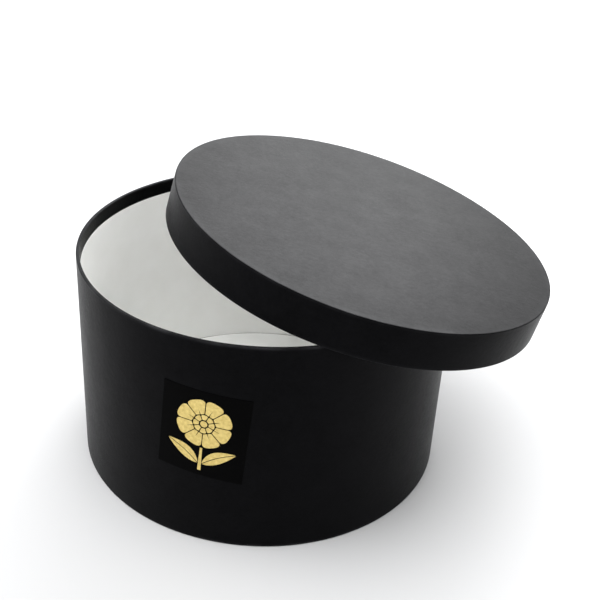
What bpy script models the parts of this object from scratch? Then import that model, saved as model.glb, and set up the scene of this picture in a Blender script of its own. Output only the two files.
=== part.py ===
"""Round florist's flower box: a rigid paper-wrapped board box with its lid laid askew on the rim.

Metres, +Z up. The origin is the centre of the underside of the base, on the surface that the
box stands on. The lid overhangs towards +X and -Y is the front.
"""

import math

import bmesh
import bpy
from mathutils import Matrix, Vector

MM = 0.001
SEGMENTS = 72  # sides of every turned piece, so neighbours stay parallel

# Stock
PAPER = 0.2 * MM
BOX_BOARD = 1.8 * MM
LID_BOARD = 1.5 * MM
DISC_BOARD = 2.0 * MM
GAP = 0.3 * MM  # glue line between neighbouring pieces

# Box
BOX_RADIUS = 150 * MM
BOX_HEIGHT = 180 * MM
COVER_TURN_IN = 15 * MM  # cover paper folded over the rim and down the inside
COVER_BAND = 11.7 * MM  # part of that fold left showing above the liner
COVER_TURN_UNDER = 14 * MM
BASE_COVER_RADIUS = 146 * MM

# Lid
LID_RADIUS = 154 * MM
LID_DEPTH = 31.4 * MM
LID_TURN_OVER = 14 * MM  # side cover folded in over the top board
LID_TURN_IN = 15 * MM
LID_BAND = 12 * MM
TOP_PAPER_INSET = 0.6 * MM

# Joints in the rolled strips and the tape over them
BUTT_GAP = 0.6 * MM
TAPE_WIDTH = 30 * MM
BOX_JOINT_ANGLE = math.radians(62)
LID_JOINT_ANGLE = math.radians(35)

# Lid at rest: its axis stands this far from the box's, and it is held just off the rim
LID_SHIFT = 75.75 * MM
REST_CLEARANCE = 0.35 * MM

# Label
LABEL_WIDTH = 66 * MM
LABEL_HEIGHT = 75 * MM
LABEL_ANGLE = math.radians(-109.3)
LABEL_CENTRE_Z = 101 * MM
LABEL_TURN = math.radians(-5)
LABEL_COLUMNS = 10

# Foil flower on the label, about the label's own centre
FOIL_THICKNESS = 0.1 * MM
PETALS = 8
POINTS_PER_PETAL = 8
FLOWER_CENTRE_Y = 11.5 * MM
PETAL_TIP = 21 * MM
PETAL_VALLEY = 15 * MM
STEM_WIDTH = 2.6 * MM
STEM_FOOT_Y = -33 * MM
LEAF_LENGTH = 25 * MM
LEAF_WIDTH = 9 * MM
LEAF_RISE = math.radians(36)
LEAF_FOOT_Y = -28 * MM
LEAF_ROOT = 2.5 * MM
LEAF_STEPS = 8

COLOURS = {
    "cover_paper": ((0.012, 0.012, 0.013), 0.55, 0.0),
    "liner_paper": ((0.80, 0.80, 0.79), 0.8, 0.0),
    "greyboard": ((0.33, 0.30, 0.26), 0.95, 0.0),
    "kraft_tape": ((0.42, 0.27, 0.14), 0.8, 0.0),
    "label_paper": ((0.004, 0.004, 0.004), 0.45, 0.0),
    "gold_foil": ((0.83, 0.58, 0.19), 0.3, 1.0),
}


def clear_scene():
    for obj in list(bpy.data.objects):
        bpy.data.objects.remove(obj, do_unlink=True)


def material(name):
    found = bpy.data.materials.get(name)
    if found:
        return found
    colour, roughness, metallic = COLOURS[name]
    made = bpy.data.materials.new(name)
    made.use_nodes = True
    shader = made.node_tree.nodes["Principled BSDF"]
    shader.inputs["Base Color"].default_value = (*colour, 1)
    shader.inputs["Roughness"].default_value = roughness
    shader.inputs["Metallic"].default_value = metallic
    return made


def add_object(name, shape, material_name, parent=None):
    """Turns a bmesh into a named object with smooth round sides and sharp edges."""
    bmesh.ops.recalc_face_normals(shape, faces=shape.faces)
    mesh = bpy.data.meshes.new(name)
    shape.to_mesh(mesh)
    shape.free()
    mesh.materials.append(material(material_name))
    mesh.shade_smooth()
    mesh.set_sharp_from_angle(angle=math.radians(30))
    obj = bpy.data.objects.new(name, mesh)
    bpy.context.collection.objects.link(obj)
    obj.parent = parent
    return obj


def turned(outline, start=0.0, sweep=math.tau):
    """Bmesh of a closed (radius, height) outline turned about Z, with end faces if it stops short."""
    shape = bmesh.new()
    full = math.isclose(sweep, math.tau)
    steps = max(2, round(SEGMENTS * sweep / math.tau))
    rings = []
    for step in range(steps if full else steps + 1):
        angle = start + sweep * step / steps
        ring = [shape.verts.new((r * math.cos(angle), r * math.sin(angle), z)) for r, z in outline]
        rings.append(ring)
    for step in range(steps):
        ring, following = rings[step], rings[(step + 1) % len(rings)]
        for i in range(len(outline)):
            j = (i + 1) % len(outline)
            shape.faces.new((ring[i], ring[j], following[j], following[i]))
    if not full:
        shape.faces.new(rings[0])
        shape.faces.new(rings[-1])
    return shape


def tube(inner, outer, bottom, top, **turn):
    return turned([(inner, bottom), (outer, bottom), (outer, top), (inner, top)], **turn)


def split_tube(inner, outer, bottom, top, joint_angle):
    """A strip rolled into a tube, with its two ends butted at joint_angle."""
    gap_angle = BUTT_GAP / outer
    return tube(
        inner, outer, bottom, top,
        start=joint_angle + gap_angle / 2, sweep=math.tau - gap_angle,
    )


def tape(inner, outer, bottom, top, joint_angle):
    width_angle = TAPE_WIDTH / outer
    return tube(inner, outer, bottom, top, start=joint_angle - width_angle / 2, sweep=width_angle)


def disc(radius, bottom, top):
    shape = bmesh.new()
    middle = Matrix.Translation((0, 0, (bottom + top) / 2))
    bmesh.ops.create_cone(
        shape, cap_ends=True, segments=SEGMENTS,
        radius1=radius, radius2=radius, depth=top - bottom, matrix=middle,
    )
    return shape


def folded_sheet(path, thickness):
    """Closed outline of a sheet whose right-angle path of (radius, height) points is its outer face."""
    inner = []
    for i, (r, z) in enumerate(path):
        before = Vector(path[i]) - Vector(path[i - 1]) if i else Vector(path[1]) - Vector(path[0])
        after = Vector(path[i + 1]) - Vector(path[i]) if i + 1 < len(path) else before
        offset = Vector((-before.y, before.x)).normalized()
        if i and i + 1 < len(path):
            offset += Vector((-after.y, after.x)).normalized()
        inner.append((r + offset.x * thickness, z + offset.y * thickness))
    return path + inner[::-1]


# Heights and radii of the box's layers, from the outside in
COVER_FOOT_Z = PAPER + GAP
BOARD_FOOT_Z = COVER_FOOT_Z + PAPER + GAP
FLOOR_Z = BOARD_FOOT_Z + DISC_BOARD + GAP
WALL_OUTER = BOX_RADIUS - PAPER - GAP
WALL_INNER = WALL_OUTER - BOX_BOARD
FOLD_OUTER = WALL_INNER - GAP
FOLD_INNER = FOLD_OUTER - PAPER
LINER_OUTER = FOLD_INNER - GAP
LINER_INNER = LINER_OUTER - PAPER

# The lid's layers, with height measured up from the skirt's lower edge
LID_TOP_BOARD_TOP = LID_DEPTH - 2 * (PAPER + GAP)
LID_TOP_BOARD_FOOT = LID_TOP_BOARD_TOP - DISC_BOARD
LID_UNDERSIDE = LID_TOP_BOARD_FOOT - GAP - PAPER
SKIRT_OUTER = LID_RADIUS - PAPER - GAP
SKIRT_INNER = SKIRT_OUTER - LID_BOARD
SKIRT_FOLD_OUTER = SKIRT_INNER - GAP
SKIRT_FOLD_INNER = SKIRT_FOLD_OUTER - PAPER
SKIRT_LINER_OUTER = SKIRT_FOLD_INNER - GAP
SKIRT_LINER_INNER = SKIRT_LINER_OUTER - PAPER


def build_box():
    rim_board_z = BOX_HEIGHT - PAPER - GAP
    wall = split_tube(WALL_INNER, WALL_OUTER, BOARD_FOOT_Z, rim_board_z, BOX_JOINT_ANGLE)
    add_object("box_wall_board", wall, "greyboard")
    fold_foot = BOX_HEIGHT - COVER_TURN_IN
    joint_tape = tape(FOLD_INNER, FOLD_OUTER, FLOOR_Z, fold_foot - GAP, BOX_JOINT_ANGLE)
    add_object("box_joint_tape", joint_tape, "kraft_tape")
    cover_path = [
        (BOX_RADIUS - COVER_TURN_UNDER, COVER_FOOT_Z),
        (BOX_RADIUS, COVER_FOOT_Z),
        (BOX_RADIUS, BOX_HEIGHT),
        (FOLD_INNER, BOX_HEIGHT),
        (FOLD_INNER, fold_foot),
    ]
    add_object("box_side_cover", turned(folded_sheet(cover_path, PAPER)), "cover_paper")
    liner = tube(LINER_INNER, LINER_OUTER, FLOOR_Z, BOX_HEIGHT - COVER_BAND)
    add_object("box_wall_liner", liner, "liner_paper")
    base = disc(FOLD_OUTER, BOARD_FOOT_Z, BOARD_FOOT_Z + DISC_BOARD)
    add_object("box_base_board", base, "greyboard")
    add_object("box_floor_paper", disc(LINER_INNER - GAP, FLOOR_Z, FLOOR_Z + PAPER), "liner_paper")
    add_object("box_base_cover", disc(BASE_COVER_RADIUS, 0, PAPER), "cover_paper")


def bend_onto_wall(shape, outside):
    """Wraps a flat sheet, drawn about the label's centre, round the wall at radius outside."""
    turn = Matrix.Rotation(LABEL_TURN, 2)
    for vert in shape.verts:
        across, up = turn @ vert.co.xy
        angle = LABEL_ANGLE + across / outside
        vert.co = (outside * math.cos(angle), outside * math.sin(angle), LABEL_CENTRE_Z + up)


def thicken(obj, thickness):
    """Gives a bent sheet its thickness, outwards."""
    solid = obj.modifiers.new("Thickness", "SOLIDIFY")
    solid.thickness = thickness
    solid.offset = 1
    solid.use_even_offset = True


def face_outwards(obj):
    """Turns a bent sheet's faces away from the box's axis."""
    mesh = obj.data
    first = mesh.polygons[0]
    if first.normal.dot((first.center.x, first.center.y, 0)) < 0:
        mesh.flip_normals()


def flower_outline():
    """Flower head, stem and two leaves as one closed line of (x, y) points."""
    centre = Vector((0, FLOWER_CENTRE_Y))
    stem_half_angle = math.asin(STEM_WIDTH / 2 / PETAL_VALLEY)
    steps = POINTS_PER_PETAL * PETALS
    head = []
    for i in range(steps + 1):
        angle = stem_half_angle + (math.tau - 2 * stem_half_angle) * i / steps
        lobe = math.sqrt(abs(math.sin(PETALS * angle / 2)))
        reach = PETAL_VALLEY + (PETAL_TIP - PETAL_VALLEY) * lobe
        head.append(centre + reach * Vector((math.sin(angle), -math.cos(angle))))
    foot = [Vector((side * STEM_WIDTH / 2, STEM_FOOT_Y)) for side in (-1, 1)]
    return head + leaf_outline(-1) + foot + leaf_outline(1)[::-1]


def leaf_outline(side):
    """A leaf from its upper joint with the stem, round its tip, to its lower joint."""
    lower = Vector((side * STEM_WIDTH / 2, LEAF_FOOT_Y))
    upper = lower + Vector((0, LEAF_ROOT))
    tip = lower + LEAF_LENGTH * Vector((side * math.cos(LEAF_RISE), math.sin(LEAF_RISE)))
    across = LEAF_WIDTH / 2 * Vector((-side * math.sin(LEAF_RISE), math.cos(LEAF_RISE)))
    points = []
    for start, end, bulge in ((upper, tip, across), (tip, lower, -across)):
        for i in range(LEAF_STEPS):
            way = i / LEAF_STEPS
            points.append(start.lerp(end, way) + bulge * math.sin(math.pi * way))
    return points + [lower]


def build_label():
    sheet = bmesh.new()
    bmesh.ops.create_grid(sheet, x_segments=LABEL_COLUMNS, y_segments=2, size=0.5)
    bmesh.ops.scale(sheet, vec=(LABEL_WIDTH, LABEL_HEIGHT, 1), verts=sheet.verts)
    bend_onto_wall(sheet, BOX_RADIUS + GAP)
    label = add_object("label", sheet, "label_paper")
    face_outwards(label)
    thicken(label, PAPER)

    sheet = bmesh.new()
    flower = sheet.faces.new([sheet.verts.new((*point, 0)) for point in flower_outline()])
    flower.normal_update()
    bmesh.ops.triangulate(sheet, faces=[flower])
    for column in range(1, LABEL_COLUMNS):
        cut_x = LABEL_WIDTH * (column / LABEL_COLUMNS - 0.5)
        bmesh.ops.bisect_plane(
            sheet, geom=sheet.verts[:] + sheet.edges[:] + sheet.faces[:],
            plane_co=(cut_x, 0, 0), plane_no=(1, 0, 0),
        )
    bend_onto_wall(sheet, BOX_RADIUS + PAPER + 2 * GAP)
    foil = add_object("label_foil_flower", sheet, "gold_foil")
    face_outwards(foil)
    thicken(foil, FOIL_THICKNESS)


def build_lid(lid):
    """The lid's pieces about its own axis, with the skirt's lower edge at height 0."""
    top = disc(SKIRT_INNER - GAP, LID_TOP_BOARD_FOOT, LID_TOP_BOARD_TOP)
    add_object("lid_top_board", top, "greyboard", lid)
    board_foot = PAPER + GAP
    skirt = split_tube(SKIRT_INNER, SKIRT_OUTER, board_foot, LID_TOP_BOARD_TOP, LID_JOINT_ANGLE)
    add_object("lid_skirt_board", skirt, "greyboard", lid)
    tape_top = LID_TOP_BOARD_FOOT - GAP
    joint_tape = tape(SKIRT_FOLD_INNER, SKIRT_FOLD_OUTER, LID_TURN_IN + GAP, tape_top, LID_JOINT_ANGLE)
    add_object("lid_joint_tape", joint_tape, "kraft_tape", lid)
    cover_top = LID_DEPTH - PAPER - GAP
    cover_path = [
        (SKIRT_FOLD_INNER, LID_TURN_IN),
        (SKIRT_FOLD_INNER, 0),
        (LID_RADIUS, 0),
        (LID_RADIUS, cover_top),
        (LID_RADIUS - LID_TURN_OVER, cover_top),
    ]
    add_object("lid_side_cover", turned(folded_sheet(cover_path, PAPER)), "cover_paper", lid)
    top_paper = disc(LID_RADIUS - TOP_PAPER_INSET, LID_DEPTH - PAPER, LID_DEPTH)
    add_object("lid_top_cover", top_paper, "cover_paper", lid)
    liner = tube(SKIRT_LINER_INNER, SKIRT_LINER_OUTER, LID_BAND, LID_TOP_BOARD_FOOT - GAP)
    add_object("lid_skirt_liner", liner, "liner_paper", lid)
    underside = disc(SKIRT_LINER_INNER - GAP, LID_UNDERSIDE, LID_UNDERSIDE + PAPER)
    add_object("lid_underside_liner", underside, "liner_paper", lid)


def resting_tilt():
    """Tilt of a lid lying on the rim: its underside on the rim's far edge, its skirt on two points.

    The underside runs through the rim at +BOX_RADIUS. The skirt's lower inner edge, LID_UNDERSIDE
    below it, meets the rim where both circles cross; the tilt that puts it there is bisected.
    """
    def circle_miss(tilt):
        x = BOX_RADIUS - LID_UNDERSIDE / math.sin(tilt)
        rise = (BOX_RADIUS - LID_SHIFT) * math.tan(tilt)
        across = (x - LID_SHIFT) * math.cos(tilt) + rise * math.sin(tilt)
        return across**2 + BOX_RADIUS**2 - x**2 - SKIRT_FOLD_INNER**2

    low = math.asin(LID_UNDERSIDE / (BOX_RADIUS + LID_SHIFT))
    high = math.asin(LID_UNDERSIDE / (BOX_RADIUS - LID_SHIFT))
    for _ in range(60):
        middle = (low + high) / 2
        if (circle_miss(middle) > 0) == (circle_miss(low) > 0):
            low = middle
        else:
            high = middle
    return (low + high) / 2


def place_lid(lid):
    """Tilts the lid about Y and sets the centre of its underside over the rim."""
    tilt = resting_tilt()
    rise = (BOX_RADIUS - LID_SHIFT) * math.tan(tilt) + REST_CLEARANCE
    underside_centre = Vector((LID_SHIFT, 0, BOX_HEIGHT + rise))
    axis = Vector((math.sin(tilt), 0, math.cos(tilt)))
    lid.rotation_euler = (0, tilt, 0)
    lid.location = underside_centre - axis * LID_UNDERSIDE


def main():
    clear_scene()
    build_box()
    build_label()
    lid = bpy.data.objects.new("lid_axis", None)
    bpy.context.collection.objects.link(lid)
    build_lid(lid)
    place_lid(lid)
    bpy.context.view_layer.update()


main()
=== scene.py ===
"""The looks of the flower box: papers with rounded folds and lapped seams, a foil label,
materials, studio light and the camera. Metres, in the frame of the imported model."""

import math

import bmesh
import bpy
import numpy as np
from mathutils import Matrix, Vector, noise


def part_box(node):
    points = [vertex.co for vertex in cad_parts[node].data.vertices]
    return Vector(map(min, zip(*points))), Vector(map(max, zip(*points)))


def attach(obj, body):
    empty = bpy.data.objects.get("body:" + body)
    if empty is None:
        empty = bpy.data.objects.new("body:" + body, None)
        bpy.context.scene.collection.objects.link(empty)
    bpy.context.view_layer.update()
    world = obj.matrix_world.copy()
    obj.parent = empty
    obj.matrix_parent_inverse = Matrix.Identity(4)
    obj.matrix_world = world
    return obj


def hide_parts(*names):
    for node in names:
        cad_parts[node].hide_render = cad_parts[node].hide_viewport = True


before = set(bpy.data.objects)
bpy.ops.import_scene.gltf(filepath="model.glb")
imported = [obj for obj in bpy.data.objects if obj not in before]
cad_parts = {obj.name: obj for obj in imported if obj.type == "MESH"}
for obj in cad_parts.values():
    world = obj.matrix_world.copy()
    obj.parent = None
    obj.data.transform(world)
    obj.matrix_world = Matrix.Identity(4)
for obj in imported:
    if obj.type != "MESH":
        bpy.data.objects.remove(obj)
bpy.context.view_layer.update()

MM = 0.001
SIDES = 256  # of every turned piece

# Papers
PAPER = 0.2 * MM
CAD_GAP = 0.3 * MM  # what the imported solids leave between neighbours
GLUE = 0.02 * MM  # what is left of that gap here
LAP = 11 * MM  # overlap at the end of each rolled strip
LAP_RAMP = 1.4 * MM  # over which the lapped end climbs onto the start
FOLD_REACH = 0.55 * MM  # how far wear spreads from a fold

# Box: how far its cover turns under and in, its folds, and angles round the wall from +X
BOX_TURN_UNDER = 14 * MM
BOX_TURN_IN = 15 * MM
BOX_FOLDS = (0.9 * MM, 0.5 * MM, 0.55 * MM)  # at the foot, and outside and inside the rim
BOX_COVER_SEAM = math.radians(83)
BOX_LINER_SEAM = math.radians(20)
BOX_JOINT = math.radians(62)  # where the wall's board ends meet under their tape

# Lid: heights are above the skirt's lower edge
LID_TURN_IN = 15 * MM
LID_TURN_OVER = 14 * MM
LID_FOLDS = (0.6 * MM, 0.7 * MM, 0.45 * MM)  # inside and outside the lower edge, and at the top
LID_COVER_SEAM = math.radians(100)
LID_LINER_SEAM = math.radians(200)
LID_LINER_START = 12 * MM
LID_STACK = 3.4 * MM  # the top paper, the turned-over cover, the board and the lining

# Camera, in units of the box's radius, aimed at a point near the middle of the rim
LENS = 62.12  # in mm, on a sensor 36 mm wide
CAMERA_DISTANCE = 5.70
CAMERA_ELEVATION = math.radians(30.52)
CAMERA_TURN = math.radians(5.63)  # the camera stands this far round from -Y towards -X
CAMERA_ROLL = math.radians(3.52)
AIM = Vector((0.189, 0.022, 0.85))


# ---------------------------------------------------------------- measures from the frame

def half_width(node):
    low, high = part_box(node)
    return (high.y - low.y) / 2


BOX_RADIUS = half_width("box_side_cover")
BOX_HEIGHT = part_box("box_side_cover")[1].z
LINER_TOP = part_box("box_wall_liner")[1].z
LINER_RADIUS = half_width("box_wall_liner") + CAD_GAP - GLUE
FLOOR_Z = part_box("box_floor_paper")[1].z


def lid_frame():
    """The lid's placing, with its origin at the skirt's lower edge, and its radius and depth.

    A disc of radius r and thickness t, tilted about Y, has a box 2r cos + t sin long and
    2r sin + t cos high, which gives the tilt. The side cover's box then gives its own height.
    """
    low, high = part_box("lid_top_cover")
    size, centre = high - low, (low + high) / 2
    tilt = math.atan2(size.z, size.x)
    for _ in range(4):
        tilt = math.atan2(size.z - PAPER * math.cos(tilt), size.x - PAPER * math.sin(tilt))
    low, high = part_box("lid_side_cover")
    radius = (high.y - low.y) / 2
    cover = ((high.z - low.z) - 2 * radius * math.sin(tilt)) / math.cos(tilt)
    depth = cover + CAD_GAP + PAPER
    axis = Vector((math.sin(tilt), 0, math.cos(tilt)))
    foot = centre - axis * (depth - PAPER / 2)
    return Matrix.Translation(foot) @ Matrix.Rotation(tilt, 4, "Y"), radius, depth


LID_PLACE, LID_RADIUS, LID_DEPTH = lid_frame()


# ---------------------------------------------------------------- small irregularities

def smooth_step(x):
    x = min(max(x, 0.0), 1.0)
    return x * x * (3 - 2 * x)


def ripple(point, size, height, seed):
    """Soft unevenness of about the given size and height at a point in space."""
    return height * noise.noise(Vector(point) / size + Vector((seed, 3.1 * seed, 7.7)))


def round_wall(angle, radius, z):
    """Where to read a wall's unevenness, which is drawn out to twice its size in height."""
    return radius * math.cos(angle), radius * math.sin(angle), z * 0.5


def wall_swell(angle, z):
    """How far the rolled wall stands out of true: slightly out of round, with faint flats."""
    point = round_wall(angle, BOX_RADIUS, z)
    return ripple(point, 90 * MM, 0.22 * MM, 1.0) + ripple(point, 28 * MM, 0.035 * MM, 2.0)


def arc_between(angle, other):
    """The distance round the wall from one angle to another."""
    return abs((angle - other + math.pi) % math.tau - math.pi) * BOX_RADIUS


def over_lap(angle, seam_angle, depth):
    """How far a liner rides in over the lap of the cover, so far in from the liner's edge."""
    away = arc_between(angle, seam_angle + LAP / 2 / BOX_RADIUS)
    beside = smooth_step((LAP / 2 + 10 * MM - away) / (5 * MM))
    return (PAPER + 0.08 * MM) * beside * smooth_step((10 * MM - depth) / (5 * MM))


def liner_swell(angle, z):
    """The liner follows the wall, in over the tape on the board's joint and over the lap."""
    taped = 0.12 * MM * smooth_step((16 * MM - arc_between(angle, BOX_JOINT)) / (3 * MM))
    return wall_swell(angle, z) - max(taped, over_lap(angle, BOX_COVER_SEAM, LINER_TOP - z))


def skirt_swell(angle, z):
    point = round_wall(angle, LID_RADIUS, z)
    return ripple(point, 80 * MM, 0.16 * MM, 5.0) + ripple(point, 22 * MM, 0.03 * MM, 6.0)


def skirt_liner_swell(angle, z):
    return skirt_swell(angle, z) - over_lap(angle, LID_COVER_SEAM, z - LID_LINER_START)


def floor_swell(x, y):
    return ripple((x, y, 0), 70 * MM, 0.12 * MM, 15.0)


def panel_swell(x, y):
    """How far the lid's top panel stands out of flat: a faint warp and the pull of the glue."""
    warp = ripple((x, y, 0), 120 * MM, 0.35 * MM, 9.0)
    return warp + ripple((x, y, 0), 30 * MM, 0.03 * MM, 11.0)


def flat(x, y):
    return 0.0


# ---------------------------------------------------------------- mesh building

def linked(name, data):
    """A new object of the scene with this mesh, light or camera."""
    obj = bpy.data.objects.new(name, data)
    bpy.context.scene.collection.objects.link(obj)
    return obj


def finish_mesh(name, points, faces, uvs, edge, material):
    """An object from points and faces, each point with its place on the sheet and its wear."""
    mesh = bpy.data.meshes.new(name)
    mesh.from_pydata([tuple(p) for p in points], [], faces)
    mesh.attributes.new("edge", "FLOAT", "POINT").data.foreach_set("value", edge)
    layer = mesh.uv_layers.new(name="UVMap")
    corner_verts = np.empty(len(mesh.loops), np.int32)
    mesh.loops.foreach_get("vertex_index", corner_verts)
    layer.data.foreach_set("uv", np.asarray(uvs, np.float32)[corner_verts].ravel())
    work = bmesh.new()
    work.from_mesh(mesh)
    bmesh.ops.recalc_face_normals(work, faces=work.faces)
    work.to_mesh(mesh)
    work.free()
    mesh.shade_smooth()
    mesh.set_sharp_from_angle(angle=math.radians(50))
    mesh.materials.append(material)
    return linked(name, mesh)


def rounded_path(corners, radii=(), spacing=7 * MM, arc_steps=7):
    """(points, normals, nearness to a fold) along a sheet's outer face, its corners rounded.

    Points are (distance from the axis, height). The sheet's own thickness lies to the left of
    the path, so its face looks to the right.
    """
    points = []
    folds = []
    here = Vector(corners[0])
    for i in range(1, len(corners)):
        corner = Vector(corners[i])
        if i + 1 == len(corners):
            points += straight_run(here, corner, spacing)[1 if points else 0:]
            break
        way = (corner - here).normalized()
        leave = (Vector(corners[i + 1]) - corner).normalized()
        turn = way.angle(leave)
        radius = radii[i - 1]
        end = corner - way * radius * math.tan(turn / 2)
        points += straight_run(here, end, spacing)[1 if points else 0:]
        side = 1 if way.x * leave.y - way.y * leave.x > 0 else -1
        centre = end + side * radius * Vector((-way.y, way.x))
        arm = end - centre
        for s in range(1, arc_steps + 1):
            swing = side * turn * s / arc_steps
            points.append(centre + Vector((
                arm.x * math.cos(swing) - arm.y * math.sin(swing),
                arm.x * math.sin(swing) + arm.y * math.cos(swing),
            )))
        folds.append((centre, radius))
        here = points[-1].copy()
    normals = []
    for i in range(len(points)):
        way = (points[min(i + 1, len(points) - 1)] - points[max(i - 1, 0)]).normalized()
        normals.append(Vector((way.y, -way.x)))
    near = [max((fold_nearness(p, f) for f in folds), default=0.0) for p in points]
    return points, normals, near


def straight_run(start, end, spacing):
    """Points from start to end, closer together near the two ends."""
    length = (end - start).length
    offsets = {0.0, length}
    for close in (0.4 * MM, 0.9 * MM, 1.8 * MM, 3.5 * MM):
        if close < length / 2:
            offsets |= {close, length - close}
    steps = max(1, math.ceil(length / spacing))
    for k in range(1, steps):
        way = length * k / steps
        if 4.5 * MM < way < length - 4.5 * MM:
            offsets.add(way)
    return [start.lerp(end, way / length) for way in sorted(offsets)]


def fold_nearness(point, fold):
    """1 on the fold, which is its arc's centre and radius, fading out beside it."""
    centre, radius = fold
    beyond = max((point - centre).length - radius, 0.0)
    return math.exp(-((beyond / FOLD_REACH) ** 2))


def rolled_sheet(name, path, seam_angle, swell, material, wear=1.0):
    """A paper strip rolled round the Z axis, its end lapped over its start."""
    points, normals, near = path
    reference = max(p.x for p in points)
    ramp = LAP_RAMP / reference
    angles = [math.tau * k / SIDES for k in range(SIDES)]
    angles = [a for a in angles if a < math.tau - ramp * 1.2]
    angles += [math.tau - ramp * (1 - s / 4) for s in range(4)]
    angles += [math.tau + LAP / reference * s / 6 for s in range(7)]
    lengths = [0.0]
    for before, after in zip(points, points[1:]):
        lengths.append(lengths[-1] + (after - before).length)
    verts, uvs, edge = [], [], []
    count = len(points)
    for angle in angles:
        turn = seam_angle + angle
        raised = (PAPER + GLUE) * smooth_step((angle - math.tau + ramp) / ramp)
        for inset, order in ((0, range(count)), (PAPER, range(count - 1, -1, -1))):
            for j in order:
                at = points[j] + normals[j] * (raised - inset)
                r = at.x + swell(turn, at.y)
                verts.append((r * math.cos(turn), r * math.sin(turn), at.y))
                uvs.append((angle * reference, lengths[j]))
                edge.append(wear * near[j])
    size = 2 * count
    faces = []
    for a in range(0, (len(angles) - 1) * size, size):
        b = a + size
        for j in range(size):
            n = (j + 1) % size
            faces.append((a + j, a + n, b + n, b + j))
    for base in (0, (len(angles) - 1) * size):
        for j in range(count - 1):
            mirror = size - 1 - j
            faces.append((base + j, base + j + 1, base + mirror - 1, base + mirror))
    return finish_mesh(name, verts, faces, uvs, edge, material)


def sheet_disc(name, radius, bottom, swell, material):
    """A flat round sheet with softened edges, its faces following swell(x, y)."""
    bevel = PAPER / 3
    inner = round(radius / (6 * MM))
    top = bottom + PAPER
    outline = [(radius * k / inner * 0.995, top) for k in range(1, inner + 1)]
    outline += [(radius - bevel, top), (radius, top - bevel), (radius, bottom + bevel)]
    outline += [(radius - bevel, bottom)]
    outline += [(radius * k / inner * 0.995, bottom) for k in range(inner, 0, -1)]
    verts, edge = [(0, 0, top + swell(0, 0))], [0.0]
    for r, z in outline:
        for k in range(SIDES):
            a = math.tau * k / SIDES
            x, y = r * math.cos(a), r * math.sin(a)
            verts.append((x, y, z + swell(x, y)))
            edge.append(math.exp(-(((radius - r) / (1.2 * MM)) ** 2)))
    verts.append((0, 0, bottom + swell(0, 0)))
    edge.append(0.0)
    faces = []
    last = len(verts) - 1
    for k in range(SIDES):
        n = (k + 1) % SIDES
        faces.append((0, 1 + k, 1 + n))
        for j in range(len(outline) - 1):
            a, b = 1 + j * SIDES, 1 + (j + 1) * SIDES
            faces.append((a + k, b + k, b + n, a + n))
        a = 1 + (len(outline) - 1) * SIDES
        faces.append((a + k, last, a + n))
    uvs = [(v[0], v[1]) for v in verts]
    return finish_mesh(name, verts, faces, uvs, edge, material)


# ---------------------------------------------------------------- materials

def new_material(name):
    made = bpy.data.materials.new(name)
    made.use_nodes = True
    tree = made.node_tree
    return made, tree, tree.nodes["Principled BSDF"]


def node(tree, kind, links=(), **values):
    """A shader node with its settings or inputs by name, and its links from (node, output) pairs."""
    made = tree.nodes.new(kind)
    for key, value in values.items():
        if hasattr(made, key):
            setattr(made, key, value)
        else:
            made.inputs[key.replace("_", " ")].default_value = value
    for socket, (source, output) in dict(links).items():
        tree.links.new(source.outputs[output], made.inputs[socket])
    return made


def noise_node(tree, coords, scale, detail=2.0, rough=0.5, stretch=None):
    source = coords
    if stretch:
        mapping = node(tree, "ShaderNodeMapping", {"Vector": coords})
        mapping.inputs["Scale"].default_value = stretch
        source = (mapping, "Vector")
    return node(
        tree, "ShaderNodeTexNoise", {"Vector": source}, Scale=scale, Detail=detail, Roughness=rough,
    )


def spread(tree, source, low, high, out_low, out_high):
    """Maps a value from one range onto another, clamped."""
    return node(
        tree, "ShaderNodeMapRange", {"Value": source},
        From_Min=low, From_Max=high, To_Min=out_low, To_Max=out_high,
    ), "Result"


def maths(tree, operation, a, b):
    """A sum, product or the like of two values, each a number or a (node, output) pair."""
    made = node(tree, "ShaderNodeMath", operation=operation)
    for socket, value in zip(made.inputs, (a, b)):
        if isinstance(value, tuple):
            tree.links.new(value[0].outputs[value[1]], socket)
        else:
            socket.default_value = value
    return made, "Value"


def mix_colour(tree, factor, first, second):
    """A blend of two colours, each an RGB tuple or a (node, output) pair."""
    made = node(tree, "ShaderNodeMix", {"Factor": factor}, data_type="RGBA")
    # A Mix node's colours are its seventh and eighth inputs, and its third output.
    for socket, value in ((made.inputs[6], first), (made.inputs[7], second)):
        if isinstance(value[0], bpy.types.Node):
            tree.links.new(value[0].outputs[value[1]], socket)
        else:
            socket.default_value = (*value, 1)
    return made, 2


def bump(tree, height, distance, strength, finer=None):
    """A bump from a height, on top of a finer one where there is one."""
    links = {"Height": height}
    if finer:
        links["Normal"] = finer
    return node(tree, "ShaderNodeBump", links, Strength=strength, Distance=distance), "Normal"


def connect(tree, shader, **sources):
    """Links (node, output) pairs to the shader's inputs, which are given by name."""
    for name, (source, output) in sources.items():
        tree.links.new(source.outputs[output], shader.inputs[name.replace("_", " ")])


def object_coords(tree):
    return node(tree, "ShaderNodeTexCoord"), "Object"


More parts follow.
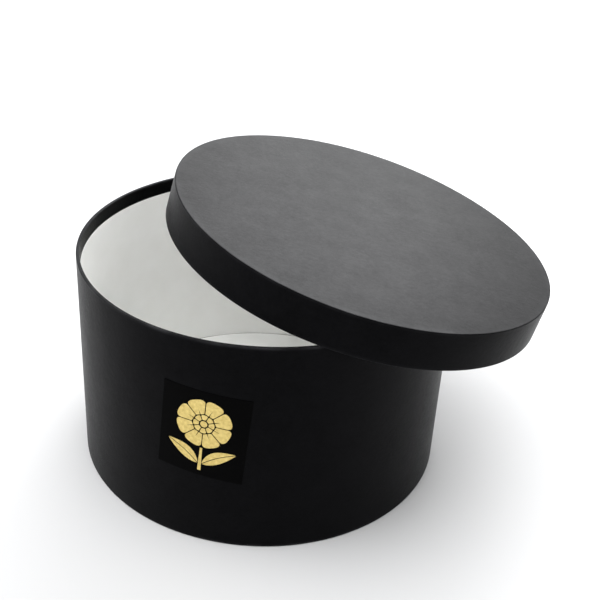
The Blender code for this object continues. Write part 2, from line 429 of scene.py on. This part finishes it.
def cover_paper():
    """Black dyed-through wrapping paper: fine felted mottle, satin, greyed a little at the folds."""
    made, tree, shader = new_material("cover_paper_fibres")
    coords = object_coords(tree)
    cloud = noise_node(tree, coords, 48, 3.0, 0.6)
    blotch = noise_node(tree, coords, 270, 2.0, 0.6)
    felt = noise_node(tree, coords, 700, 3.0, 0.65)
    fibre = noise_node(tree, coords, 2600, 2.0, 0.6)
    coarse = maths(tree, "MULTIPLY", maths(tree, "ADD", (cloud, "Fac"), (blotch, "Fac")), 0.3)
    mottle = maths(tree, "ADD", coarse, maths(tree, "MULTIPLY", (felt, "Fac"), 0.4))
    tone = spread(tree, mottle, 0.36, 0.64, 0.0, 1.0)
    body = mix_colour(tree, tone, (0.0005, 0.0005, 0.0007), (0.0022, 0.0022, 0.0026))
    edge = node(tree, "ShaderNodeAttribute", attribute_name="edge")
    rub = maths(tree, "MULTIPLY", (edge, "Fac"), spread(tree, (cloud, "Fac"), 0.4, 0.6, 0.3, 1.0))
    worn = mix_colour(tree, rub, body, (0.014, 0.014, 0.015))
    rough = spread(tree, mottle, 0.36, 0.64, 0.425, 0.335)
    fine = bump(tree, (fibre, "Fac"), 0.05 * MM, 0.6)
    medium = bump(tree, (felt, "Fac"), 0.12 * MM, 0.34, fine)
    broad = bump(tree, (blotch, "Fac"), 0.25 * MM, 0.3, medium)
    connect(tree, shader, Base_Color=worn, Roughness=rough, Normal=broad)
    shader.inputs["Specular IOR Level"].default_value = 0.038
    shader.inputs["Specular Tint"].default_value = (0.955, 0.970, 1.0, 1)
    return made


def liner_paper():
    """Smooth white lining paper, faintly cloudy."""
    made, tree, shader = new_material("liner_paper_fibres")
    coords = object_coords(tree)
    cloud = noise_node(tree, coords, 40, 3.0, 0.55)
    felt = noise_node(tree, coords, 900, 3.0, 0.6)
    tone = spread(tree, (cloud, "Fac"), 0.3, 0.7, 0.0, 1.0)
    body = mix_colour(tree, tone, (0.900, 0.900, 0.876), (0.936, 0.936, 0.918))
    rough = spread(tree, (felt, "Fac"), 0.3, 0.7, 0.45, 0.6)
    fine = bump(tree, (felt, "Fac"), 0.06 * MM, 0.3)
    connect(tree, shader, Base_Color=body, Roughness=rough, Normal=fine)
    shader.inputs["Specular IOR Level"].default_value = 0.5
    return made


def label_paper():
    """Dense matt black label stock."""
    made, tree, shader = new_material("label_paper_fibres")
    coords = object_coords(tree)
    felt = noise_node(tree, coords, 1100, 3.0, 0.6)
    tone = spread(tree, (felt, "Fac"), 0.3, 0.7, 0.0, 1.0)
    body = mix_colour(tree, tone, (0.0006, 0.0006, 0.0006), (0.0014, 0.0014, 0.0015))
    rough = spread(tree, (felt, "Fac"), 0.3, 0.7, 0.45, 0.6)
    fine = bump(tree, (felt, "Fac"), 0.05 * MM, 0.2)
    connect(tree, shader, Base_Color=body, Roughness=rough, Normal=fine)
    shader.inputs["Specular IOR Level"].default_value = 0.018
    return made


def gold_foil():
    """Hot-stamped foil: bright gold, softly uneven from the paper under it."""
    made, tree, shader = new_material("gold_foil_stamped")
    coords = object_coords(tree)
    press = noise_node(tree, coords, 420, 2.0, 0.5)
    grain = noise_node(tree, coords, 2400, 2.0, 0.6)
    tone = spread(tree, (press, "Fac"), 0.3, 0.7, 0.0, 1.0)
    body = mix_colour(tree, tone, (0.60, 0.45, 0.14), (0.78, 0.62, 0.23))
    rough = spread(tree, (grain, "Fac"), 0.3, 0.7, 0.34, 0.46)
    fine = bump(tree, (press, "Fac"), 0.10 * MM, 0.25)
    connect(tree, shader, Base_Color=body, Roughness=rough, Normal=fine)
    shader.inputs["Metallic"].default_value = 0.75
    return made


def greyboard():
    """Recycled grey chipboard, flecked."""
    made, tree, shader = new_material("greyboard_flecks")
    coords = object_coords(tree)
    fleck = noise_node(tree, coords, 900, 3.0, 0.7)
    cloud = noise_node(tree, coords, 80, 3.0, 0.6)
    tone = spread(tree, (fleck, "Fac"), 0.35, 0.65, 0.0, 1.0)
    base = mix_colour(tree, tone, (0.25, 0.23, 0.20), (0.40, 0.37, 0.32))
    shade = spread(tree, (cloud, "Fac"), 0.3, 0.7, 0.0, 0.3)
    body = mix_colour(tree, shade, base, (0.33, 0.30, 0.26))
    connect(tree, shader, Base_Color=body, Normal=bump(tree, (fleck, "Fac"), 0.2 * MM, 0.4))
    shader.inputs["Roughness"].default_value = 0.95
    return made


def kraft_tape():
    """Brown gummed paper tape with long fibres."""
    made, tree, shader = new_material("kraft_tape_fibres")
    coords = object_coords(tree)
    fibre = noise_node(tree, coords, 1400, 3.0, 0.65, stretch=(1, 1, 0.15))
    tone = spread(tree, (fibre, "Fac"), 0.3, 0.7, 0.0, 1.0)
    body = mix_colour(tree, tone, (0.35, 0.22, 0.11), (0.50, 0.34, 0.19))
    connect(tree, shader, Base_Color=body, Normal=bump(tree, (fibre, "Fac"), 0.08 * MM, 0.4))
    shader.inputs["Roughness"].default_value = 0.7
    return made


MATERIALS = {
    "cover_paper": cover_paper(),
    "liner_paper": liner_paper(),
    "label_paper": label_paper(),
    "gold_foil": gold_foil(),
    "greyboard": greyboard(),
    "kraft_tape": kraft_tape(),
}


def place(piece, body, node_name):
    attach(piece, body)
    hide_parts(node_name)


# ---------------------------------------------------------------- box

def build_box():
    """The wall's cover and lining, and the papers on the floor and under the base."""
    black, white = MATERIALS["cover_paper"], MATERIALS["liner_paper"]
    fold_inner = LINER_RADIUS + GLUE
    foot = PAPER + 0.03 * MM
    path = rounded_path([
        (BOX_RADIUS - BOX_TURN_UNDER, foot),
        (BOX_RADIUS, foot),
        (BOX_RADIUS, BOX_HEIGHT),
        (fold_inner, BOX_HEIGHT),
        (fold_inner, BOX_HEIGHT - BOX_TURN_IN),
    ], BOX_FOLDS)
    cover = rolled_sheet("box_cover_paper", path, BOX_COVER_SEAM, wall_swell, black)

    face = LINER_RADIUS - PAPER
    path = rounded_path([(face, LINER_TOP), (face, FLOOR_Z + GLUE)])
    liner = rolled_sheet("box_liner_paper", path, BOX_LINER_SEAM, liner_swell, white)

    floor = sheet_disc("box_floor_sheet", face - 0.5 * MM, FLOOR_Z - PAPER, floor_swell, white)
    low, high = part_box("box_base_cover")
    under = sheet_disc("box_base_sheet", high.x, low.z, flat, black)
    for piece, node_name, slot in (
        (cover, "box_side_cover", "cover_paper"),
        (liner, "box_wall_liner", "liner_paper"),
        (floor, "box_floor_paper", "liner_paper"),
        (under, "box_base_cover", "cover_paper"),
    ):
        place(piece, "box", node_name)


# ---------------------------------------------------------------- lid

def build_lid():
    """The skirt's cover and lining, and the papers on and under the top, made level then placed."""
    black, white = MATERIALS["cover_paper"], MATERIALS["liner_paper"]
    liner_radius = half_width("lid_skirt_liner") + CAD_GAP - GLUE
    fold_inner = liner_radius + GLUE
    top = LID_DEPTH - PAPER - GLUE
    path = rounded_path([
        (fold_inner, LID_TURN_IN),
        (fold_inner, 0),
        (LID_RADIUS, 0),
        (LID_RADIUS, top),
        (LID_RADIUS - LID_TURN_OVER, top),
    ], LID_FOLDS, spacing=4 * MM)
    cover = rolled_sheet("lid_cover_paper", path, LID_COVER_SEAM, skirt_swell, black, wear=0.3)
    radius = LID_RADIUS - 0.15 * MM
    panel = sheet_disc("lid_top_sheet", radius, LID_DEPTH - PAPER, panel_swell, black)

    face = liner_radius - PAPER
    underside = LID_DEPTH - LID_STACK
    path = rounded_path([(face, underside - 0.05 * MM), (face, LID_LINER_START)])
    liner = rolled_sheet("lid_liner_paper", path, LID_LINER_SEAM, skirt_liner_swell, white)
    ceiling = sheet_disc("lid_ceiling_sheet", face - 0.4 * MM, underside, floor_swell, white)
    for piece, node_name, slot in (
        (cover, "lid_side_cover", "cover_paper"),
        (panel, "lid_top_cover", "cover_paper"),
        (liner, "lid_skirt_liner", "liner_paper"),
        (ceiling, "lid_underside_liner", "liner_paper"),
    ):
        piece.data.transform(LID_PLACE)
        place(piece, "lid", node_name)


# ---------------------------------------------------------------- label and its foil flower

LABEL_WIDTH = 66 * MM
LABEL_HEIGHT = 75 * MM
LABEL_TURN = math.radians(-5)
LABEL_FACE = BOX_RADIUS + PAPER + 0.03 * MM
FOIL = 0.05 * MM
PETALS = 8
FLOWER_Y = 9.5 * MM  # the flower's middle, above the label's
PETAL_START = 8.6 * MM
PETAL_TIP = 21 * MM
FLORET_START = 3.7 * MM  # the ring of small petals inside the large ones
FLORET_TIP = 8.0 * MM
HEART_RADIUS = 2.7 * MM
STEM_FOOT = -33 * MM
LEAF_ROOT = Vector((1.7 * MM, -26.5 * MM))
LEAF_LENGTH = 28 * MM
LEAF_WIDTH = 4.8 * MM  # of each half
LEAF_RISE = math.radians(31)
LEAF_BEND = 1.6 * MM
GROOVE = 0.75 * MM  # bare label between two shapes of foil


def label_centre():
    """(angle, height) of the middle of the label."""
    points = np.array([v.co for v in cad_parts["label"].data.vertices])
    x, y, z = points.mean(axis=0)
    return math.atan2(y, x), z


LABEL_ANGLE, LABEL_Z = label_centre()


def onto_wall(x, y, out):
    """A point of the flat label, x across and y up from its middle, bent round the wall."""
    across = x * math.cos(LABEL_TURN) - y * math.sin(LABEL_TURN)
    z = LABEL_Z + x * math.sin(LABEL_TURN) + y * math.cos(LABEL_TURN)
    angle = LABEL_ANGLE + across / BOX_RADIUS
    r = LABEL_FACE + out + wall_swell(angle, z)
    return Vector((r * math.cos(angle), r * math.sin(angle), z))


def from_edges(x, y):
    """How far a point of the label is from its nearest upright edge and nearest level edge."""
    return LABEL_WIDTH / 2 - abs(x), LABEL_HEIGHT / 2 - abs(y)


def corner_lift(x, y):
    """The label's corners have come up a hair from the wall."""
    beside, above = from_edges(x, y)
    corner = 0.25 * MM * smooth_step(1 - math.hypot(beside, above) / (9 * MM))
    return corner + 0.03 * MM * smooth_step(1 - min(beside, above) / (2 * MM))


def build_label():
    columns, rows = 44, 50
    verts, uvs, edge = [], [], []
    for face in (0, -PAPER):
        for j in range(rows + 1):
            for i in range(columns + 1):
                x = LABEL_WIDTH * (i / columns - 0.5)
                y = LABEL_HEIGHT * (j / rows - 0.5)
                verts.append(onto_wall(x, y, face + corner_lift(x, y)))
                uvs.append((x, y))
                edge.append(math.exp(-((min(from_edges(x, y)) / (1.2 * MM)) ** 2)))
    faces = []
    wide, layer = columns + 1, (columns + 1) * (rows + 1)
    for j in range(rows):
        for i in range(columns):
            a = j * wide + i
            faces.append((a, a + 1, a + wide + 1, a + wide))
            faces.append((layer + a, layer + a + wide, layer + a + wide + 1, layer + a + 1))
    border = list(range(columns))
    border += [columns + j * wide for j in range(rows)]
    border += [rows * wide + i for i in range(columns, 0, -1)]
    border += [j * wide for j in range(rows, 0, -1)]
    for k, a in enumerate(border):
        b = border[(k + 1) % len(border)]
        faces.append((a, layer + a, layer + b, b))
    label = finish_mesh("label_sheet", verts, faces, uvs, edge, MATERIALS["label_paper"])
    place(label, "box", "label")


def petal(middle, start, tip, slit):
    """A petal between two radii about an angle from straight up, as wide as its neighbours allow.

    Its sides run straight to a shoulder and are rounded beyond it, and a slit runs up its middle
    from the inner end, over the given share of its length.
    """
    shoulder = start + 0.62 * (tip - start)
    side = [(start + (shoulder - start) * i / 6, 1.0) for i in range(7)]
    for i in range(1, 13):
        swing = math.pi / 2 * i / 12
        side.append((shoulder + (tip - shoulder) * math.sin(swing), math.cos(swing) ** 0.8))
    right = []
    for r, round_off in side:
        half = max(r * math.tan(math.pi / PETALS) - GROOVE / 2, 0.2 * MM) * round_off
        right.append((r, half))
    outline = [(start + slit * (tip - start), 0.0), (start, 0.32 * MM)]
    outline += right
    outline += [(r, -half) for r, half in right[-2::-1]]
    outline.append((start, -0.32 * MM))
    return [
        (
            across * math.cos(middle) + r * math.sin(middle),
            FLOWER_Y - across * math.sin(middle) + r * math.cos(middle),
        )
        for r, across in outline
    ]


def heart():
    """The round spot in the middle of the flower."""
    angles = [math.tau * k / 24 for k in range(24)]
    return [
        (HEART_RADIUS * math.cos(a), FLOWER_Y + HEART_RADIUS * math.sin(a)) for a in angles
    ]


def leaf_halves(side):
    """The two halves of the leaf on one side of the stem, either side of a bare midrib."""
    root = Vector((side * LEAF_ROOT.x, LEAF_ROOT.y))
    along = Vector((side * math.cos(LEAF_RISE), math.sin(LEAF_RISE)))
    across = Vector((-side * math.sin(LEAF_RISE), math.cos(LEAF_RISE)))
    halves = []
    for edge in (1, -1):
        outer, inner = [], []
        for i in range(17):
            way = i / 16
            rib = root + along * LEAF_LENGTH * way + across * LEAF_BEND * math.sin(math.pi * way)
            inner.append(rib + across * edge * GROOVE / 2.6)
            if 0 < i < 16:
                half = LEAF_WIDTH * math.sin(math.pi * way**0.85) ** 0.9
                outer.append(inner[-1] + across * edge * half)
        halves.append([tuple(p) for p in outer + inner[::-1]])
    return halves


def stem():
    top = FLOWER_Y - PETAL_TIP - GROOVE
    right = []
    for i in range(13):
        way = i / 12
        right.append(((1.35 - 0.45 * way) * MM, STEM_FOOT + (top - STEM_FOOT) * way))
    return right + [(-half, y) for half, y in right[::-1]]


def foil_shapes():
    """The outlines of the flower's separate shapes of foil, flat on the label."""
    shapes = []
    for k in range(PETALS):
        middle = math.tau * (k + 0.5) / PETALS
        shapes.append(petal(middle, PETAL_START, PETAL_TIP, 0.42))
        shapes.append(petal(middle + math.pi / PETALS, FLORET_START, FLORET_TIP, 0.0))
    shapes.append(heart())
    shapes.append(stem())
    for side in (-1, 1):
        shapes += leaf_halves(side)
    return shapes


def build_foil():
    """The flower's shapes, given a thickness and bent round the wall."""
    work = bmesh.new()
    for shape in foil_shapes():
        face = work.faces.new([work.verts.new((*p, 0)) for p in shape])
        face.normal_update()
        if face.normal.z < 0:
            face.normal_flip()
    bmesh.ops.triangulate(work, faces=work.faces)
    # Cut into upright strips, so that the shapes can bend, at places that miss their points.
    strip = 2 * MM
    cuts = int(LABEL_WIDTH / 2 / strip)
    for k in range(-cuts, cuts + 1):
        bmesh.ops.bisect_plane(
            work, geom=work.verts[:] + work.edges[:] + work.faces[:],
            plane_co=(k * strip + 0.013 * MM, 0, 0), plane_no=(1, 0, 0),
        )
    raised = bmesh.ops.extrude_face_region(work, geom=work.faces[:], use_keep_orig=True)
    upper = {v for v in raised["geom"] if isinstance(v, bmesh.types.BMVert)}
    for vert in work.verts:
        out = corner_lift(vert.co.x, vert.co.y) + 0.01 * MM
        vert.co = onto_wall(vert.co.x, vert.co.y, out + (FOIL if vert in upper else 0.0))
    bmesh.ops.recalc_face_normals(work, faces=work.faces)
    mesh = bpy.data.meshes.new("label_foil")
    work.to_mesh(mesh)
    work.free()
    mesh.materials.append(MATERIALS["gold_foil"])
    place(linked("label_foil", mesh), "box", "label_foil_flower")


# ---------------------------------------------------------------- studio

def build_floor():
    far = 12.0
    corners = [(-far, -far, 0), (far, -far, 0), (far, far, 0), (-far, far, 0)]
    mesh = bpy.data.meshes.new("floor")
    mesh.from_pydata(corners, [], [(0, 1, 2, 3)])
    made, _, shader = new_material("floor_white")
    shader.inputs["Base Color"].default_value = (0.52, 0.52, 0.52, 1)
    shader.inputs["Roughness"].default_value = 0.9
    shader.inputs["Specular IOR Level"].default_value = 0.0
    mesh.materials.append(made)
    linked("floor", mesh)


def compass(round_from_back, up):
    """A direction so many degrees round from +Y towards +X, and so many up."""
    a, b = math.radians(round_from_back), math.radians(up)
    return Vector((math.sin(a) * math.cos(b), math.cos(a) * math.cos(b), math.sin(b)))


# Soft glows of the studio's walls and ceiling: direction, sharpness, strength
GLOWS = (
    (compass(12, 30), 20, 5.6),  # behind, mirrored in the lid
    (compass(-75, 12), 10, 5.8),  # left wall
    (compass(-100, 56), 10, 0.75),  # left ceiling
    (compass(0, 90), 10, 5.55),  # straight above
    (compass(191, 59), 10, 2.65),  # ceiling above the camera
)
# Softboxes behind the box, on its right: name, direction, power
SOFTBOXES = (
    ("softbox_low", compass(20, 28), 1.4),
    ("softbox_high", compass(20, 40), 3.8),
    ("softbox_right", compass(35, 28), 2.4),
)
SOFTBOX_SIDE = 0.5
SOFTBOX_DISTANCE = 0.9
SOFTBOX_AIM = Vector((0.07, 0, 0.2))  # the middle of the lid
STUDIO_WHITE = (0.985, 0.990, 1.0, 1)
HORIZON = 1.06  # an even pale ring all round, fading out above


def build_world():
    world = bpy.data.worlds.new("studio")
    bpy.context.scene.world = world
    world.use_nodes = True
    tree = world.node_tree
    background = tree.nodes["Background"]
    background.inputs["Color"].default_value = STUDIO_WHITE
    coords = node(tree, "ShaderNodeTexCoord")
    height = node(tree, "ShaderNodeSeparateXYZ", {"Vector": (coords, "Generated")}), "Z"
    total = spread(tree, height, 0.27, 0.6, HORIZON, 0.0)
    total[0].interpolation_type = "SMOOTHSTEP"
    for direction, sharpness, strength in GLOWS:
        along = node(tree, "ShaderNodeVectorMath", operation="DOT_PRODUCT")
        tree.links.new(coords.outputs["Generated"], along.inputs[0])
        along.inputs[1].default_value = direction
        facing = maths(tree, "MAXIMUM", (along, "Value"), 0.0)
        glow = maths(tree, "MULTIPLY", maths(tree, "POWER", facing, sharpness), strength)
        total = maths(tree, "ADD", total, glow)
    tree.links.new(total[0].outputs[total[1]], background.inputs["Strength"])


def build_softbox(name, direction, power):
    data = bpy.data.lights.new(name, "AREA")
    data.shape = "SQUARE"
    data.size = SOFTBOX_SIDE
    data.energy = power
    data.color = STUDIO_WHITE[:3]
    light = linked(name, data)
    light.location = SOFTBOX_AIM + direction * SOFTBOX_DISTANCE
    light.rotation_euler = (-direction).to_track_quat("-Z", "Y").to_euler()
    light.visible_camera = False


def build_camera():
    data = bpy.data.cameras.new("camera")
    data.lens = LENS
    data.sensor_width = 36
    data.clip_start, data.clip_end = 0.01, 100
    camera = linked("camera", data)
    level = math.cos(CAMERA_ELEVATION)
    away = Vector((
        -math.sin(CAMERA_TURN) * level, -math.cos(CAMERA_TURN) * level, math.sin(CAMERA_ELEVATION),
    ))
    camera.location = BOX_RADIUS * (AIM + away * CAMERA_DISTANCE)
    aim = (-away).to_track_quat("-Z", "Y")
    camera.rotation_mode = "QUATERNION"
    camera.rotation_quaternion = aim @ Matrix.Rotation(CAMERA_ROLL, 4, "Z").to_quaternion()
    bpy.context.scene.camera = camera


def finish_hidden_nodes():
    """Gives the boards and tapes, which stay as they were packed, their detailed materials."""
    for name, slot in (
        ("box_wall_board", "greyboard"),
        ("box_base_board", "greyboard"),
        ("box_joint_tape", "kraft_tape"),
        ("lid_top_board", "greyboard"),
        ("lid_skirt_board", "greyboard"),
        ("lid_joint_tape", "kraft_tape"),
    ):
        for material_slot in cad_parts[name].material_slots:
            material_slot.material = MATERIALS[slot]


def main():
    build_camera()
    build_box()
    build_lid()
    build_label()
    build_foil()
    finish_hidden_nodes()
    build_floor()
    build_world()
    for name, direction, power in SOFTBOXES:
        build_softbox(name, direction, power)
    bpy.context.scene.view_settings.view_transform = "Standard"


main()
